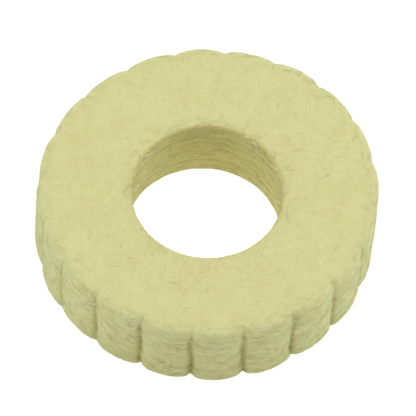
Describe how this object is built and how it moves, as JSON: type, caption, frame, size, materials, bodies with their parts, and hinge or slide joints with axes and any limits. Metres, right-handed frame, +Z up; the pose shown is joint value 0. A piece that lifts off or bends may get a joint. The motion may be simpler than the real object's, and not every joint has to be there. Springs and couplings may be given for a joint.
{
  "type": "felt polishing wheel",
  "caption": "Thick flat ring of pressed cream wool felt with a plain round bore and a rim cut into shallow rounded lobes, built as a stack of felted plies.",
  "frame": {"origin": "centre of the wheel's lower face, on the bore's axis", "axes": "+Z up along the bore's axis, through the width of the wheel; +X through the crest of a lobe, which also puts a crest on +Y"},
  "size_m": [0.1, 0.1, 0.025],
  "materials": {
    "wool_felt": "matt pressed undyed wool felt, greenish cream, with loose surface fibres"
  },
  "bodies": {
    "root": {"lower_face_ply": "wool_felt", "core_ply_1": "wool_felt", "core_ply_2": "wool_felt", "core_ply_3": "wool_felt", "core_ply_4": "wool_felt", "core_ply_5": "wool_felt", "core_ply_6": "wool_felt", "upper_face_ply": "wool_felt"}
  },
  "joints": []
}
